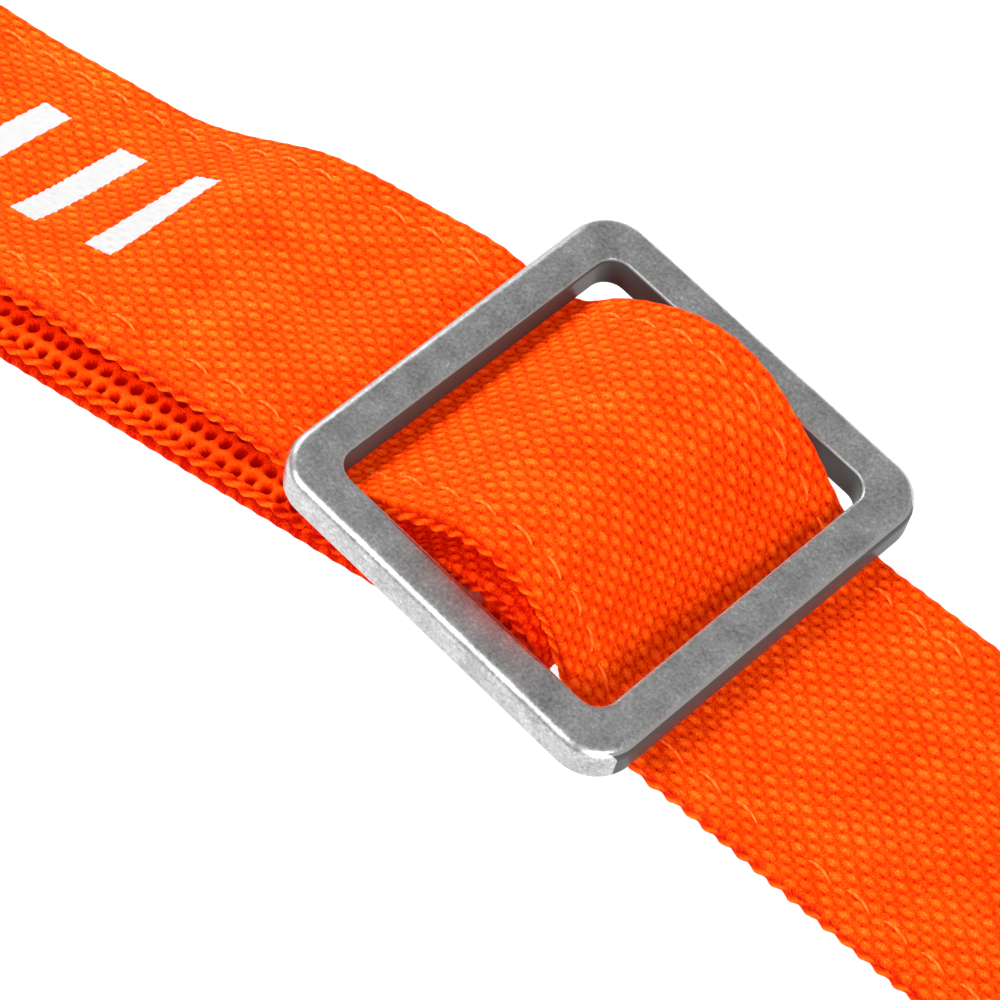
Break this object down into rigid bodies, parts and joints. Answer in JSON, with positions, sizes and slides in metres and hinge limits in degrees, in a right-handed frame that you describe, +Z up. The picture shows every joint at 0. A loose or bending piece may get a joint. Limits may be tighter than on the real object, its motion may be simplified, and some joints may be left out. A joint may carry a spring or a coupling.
{
  "type": "webbing strap with slide adjuster",
  "caption": "Adjustable orange webbing strap with a square metal slide adjuster and a swivel snap hook at each end, laid out flat.",
  "frame": {"origin": "bottom centre of the bounding box, on the surface the strap lies on", "axes": "+X along the strap towards its sewn end, +Y across it, +Z up"},
  "size_m": [0.3272, 0.0456, 0.0132],
  "materials": {
    "webbing_face": "woven polyester, satin",
    "webbing_backing": "open knitted mesh, matte",
    "thread": "bonded thread, slight sheen",
    "slide_metal": "satin, bead blasted",
    "hook_metal": "satin",
    "spring_steel": "polished wire"
  },
  "bodies": {
    "webbing": {"loop_face": "webbing_face", "loop_mesh": "webbing_backing", "loop_bartacks": "thread", "right_run_face": "webbing_face", "right_run_mesh": "webbing_backing", "right_run_stitches": "thread", "upper_run_face": "webbing_face", "upper_run_mesh": "webbing_backing", "upper_run_stitches": "thread", "lower_run_face": "webbing_face", "lower_run_mesh": "webbing_backing"},
    "slide": {"slide_frame": "slide_metal", "centre_bar": "slide_metal", "crown_face": "webbing_face", "crown_mesh": "webbing_backing"},
    "right_end": {"right_wrap_face": "webbing_face", "right_wrap_mesh": "webbing_backing", "right_box_stitch": "thread"},
    "left_end": {"left_wrap_face": "webbing_face", "left_wrap_mesh": "webbing_backing"},
    "right_eye_body": {"right_eye": "hook_metal"},
    "right_hook": {"right_hook_body": "hook_metal", "right_stem_washer": "hook_metal", "right_gate_pin": "spring_steel", "right_gate_spring": "spring_steel"},
    "right_gate_body": {"right_gate": "hook_metal"},
    "left_eye_body": {"left_eye": "hook_metal"},
    "left_hook": {"left_hook_body": "hook_metal", "left_stem_washer": "hook_metal", "left_gate_pin": "spring_steel", "left_gate_spring": "spring_steel"},
    "left_gate_body": {"left_gate": "hook_metal"}
  },
  "joints": [
    {"name": "frame_rock", "type": "hinge", "parent": "webbing", "child": "slide", "pos_m": [-0.00548, 0.00556, 0.00666], "axis": [0, 1, 0], "range_deg": [-6, 0], "deforming": ["right_run_face", "right_run_mesh", "upper_run_face", "upper_run_mesh", "upper_run_stitches"]},
    {"name": "length_adjust", "type": "slide", "parent": "webbing", "child": "right_end", "axis": [0.9992, -0.0401, 0], "range_m": [-0.01, 0.01], "deforming": ["right_run_face", "right_run_mesh", "right_run_stitches"]},
    {"name": "return_adjust", "type": "slide", "parent": "webbing", "child": "left_end", "axis": [-0.994, -0.1097, 0], "range_m": [-0.005, 0.005], "deforming": ["upper_run_face", "upper_run_mesh", "upper_run_stitches", "lower_run_face", "lower_run_mesh"]},
    {"name": "right_eye_swing", "type": "hinge", "parent": "right_end", "child": "right_eye_body", "pos_m": [0.10454, 0.00115, 0.004], "axis": [-0.0401, -0.9992, 0], "range_deg": [0, 120]},
    {"name": "right_swivel", "type": "hinge", "parent": "right_eye_body", "child": "right_hook", "pos_m": [0.12152, 0.00047, 0.004], "axis": [0.9992, -0.0401, 0], "continuous": true},
    {"name": "right_gate_hinge", "type": "hinge", "parent": "right_hook", "child": "right_gate_body", "pos_m": [0.13567, 0.004, 0.004], "axis": [0, 0, -1], "range_deg": [0, 25], "stiffness_Nm_per_rad": 0.05, "springref_deg": -14.32},
    {"name": "left_eye_swing", "type": "hinge", "parent": "left_end", "child": "left_eye_body", "pos_m": [-0.10477, -0.00541, 0.004], "axis": [-0.1097, 0.994, 0], "range_deg": [0, 120]},
    {"name": "left_swivel", "type": "hinge", "parent": "left_eye_body", "child": "left_hook", "pos_m": [-0.12167, -0.00728, 0.004], "axis": [-0.994, -0.1097, 0], "continuous": true},
    {"name": "left_gate_hinge", "type": "hinge", "parent": "left_hook", "child": "left_gate_body", "pos_m": [-0.13514, -0.01289, 0.004], "axis": [0, 0, -1], "range_deg": [0, 25], "stiffness_Nm_per_rad": 0.05, "springref_deg": -14.32}
  ],
  "couplings": [
    {"joint": "return_adjust", "follows": "length_adjust", "ratio": -0.5}
  ]
}
